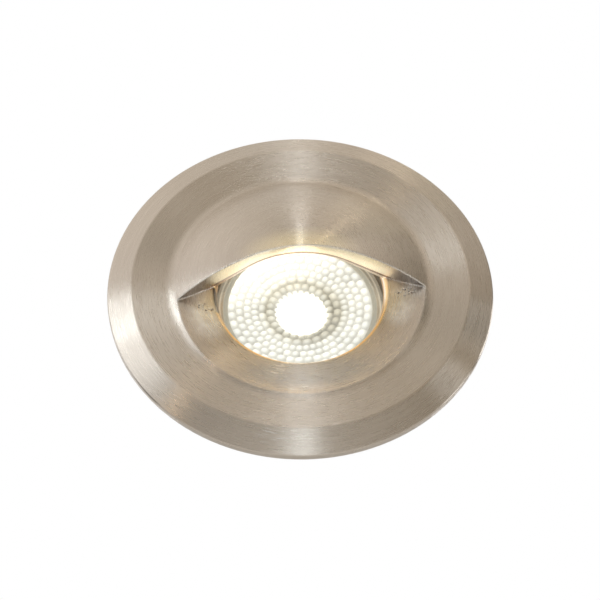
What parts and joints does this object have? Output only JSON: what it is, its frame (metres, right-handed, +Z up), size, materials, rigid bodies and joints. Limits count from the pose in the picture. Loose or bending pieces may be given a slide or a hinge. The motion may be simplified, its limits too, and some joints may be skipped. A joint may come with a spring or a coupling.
{
  "type": "recessed step light",
  "caption": "Round recessed step light: a turned stainless face with an eyelid hood over a glass lens, pushed into a wall can that sprung arms grip behind the wall.",
  "frame": {"origin": "centre of the can's mouth in the wall surface", "axes": "+Y into the wall along the can's axis, -Y out of the face, +Z up towards the hood"},
  "size_m": [0.114, 0.1026, 0.114],
  "materials": {
    "turned_stainless": "lathe-turned satin",
    "lens_glass": "clear polished",
    "black_rubber": "matt",
    "spring_steel": "bright drawn",
    "plated_steel": "zinc plated",
    "can_finish": "powder coated",
    "reflector_mirror": "faceted mirror coating",
    "lamp_glass": "clear",
    "lamp_glow": "glowing quartz",
    "ceramic_white": "unglazed",
    "contact_brass": "bright",
    "gland_plastic": "moulded",
    "pad_rubber": "matt"
  },
  "bodies": {
    "housing": {"housing_can": "can_finish", "left_pivot_pin": "plated_steel", "right_pivot_pin": "plated_steel", "left_torsion_spring": "spring_steel", "right_torsion_spring": "spring_steel", "lamp_reflector": "reflector_mirror", "lamp_cover_glass": "lamp_glass", "lamp_capsule": "lamp_glow", "lamp_base": "ceramic_white", "lamp_pins": "contact_brass", "lampholder": "ceramic_white", "lampholder_contacts": "contact_brass", "terminal_screws": "plated_steel", "lampholder_screws": "plated_steel", "socket_bracket": "plated_steel", "bracket_screws": "plated_steel", "gland_body": "gland_plastic", "gland_washer": "black_rubber", "gland_locknut": "gland_plastic", "gland_seal": "black_rubber", "gland_nut": "gland_plastic"},
    "seal_ring": {"spigot_o_ring": "black_rubber"},
    "face": {"eyelid_face": "turned_stainless", "wall_gasket": "black_rubber", "lens_gasket": "black_rubber", "lens": "lens_glass", "lens_snap_ring": "spring_steel"},
    "left_arm": {"left_spring_arm": "spring_steel", "left_arm_pad": "pad_rubber"},
    "right_arm": {"right_spring_arm": "spring_steel", "right_arm_pad": "pad_rubber"}
  },
  "joints": [
    {"name": "face_pull", "type": "slide", "parent": "housing", "child": "seal_ring", "axis": [0, -1, 0], "range_m": [0, 0.03]},
    {"name": "face_turn", "type": "hinge", "parent": "seal_ring", "child": "face", "pos_m": [0, 0, 0], "axis": [0, -1, 0], "continuous": true},
    {"name": "left_arm_swing", "type": "hinge", "parent": "housing", "child": "left_arm", "pos_m": [-0.0293, 0.026, 0], "axis": [0, 0, -1], "range_deg": [0, 138], "stiffness_Nm_per_rad": 0.05, "springref_deg": -34.38, "deforming": ["left_torsion_spring"]},
    {"name": "right_arm_swing", "type": "hinge", "parent": "housing", "child": "right_arm", "pos_m": [0.0293, 0.026, 0], "axis": [0, 0, 1], "range_deg": [0, 138], "stiffness_Nm_per_rad": 0.05, "springref_deg": -34.38, "deforming": ["right_torsion_spring"]}
  ]
}
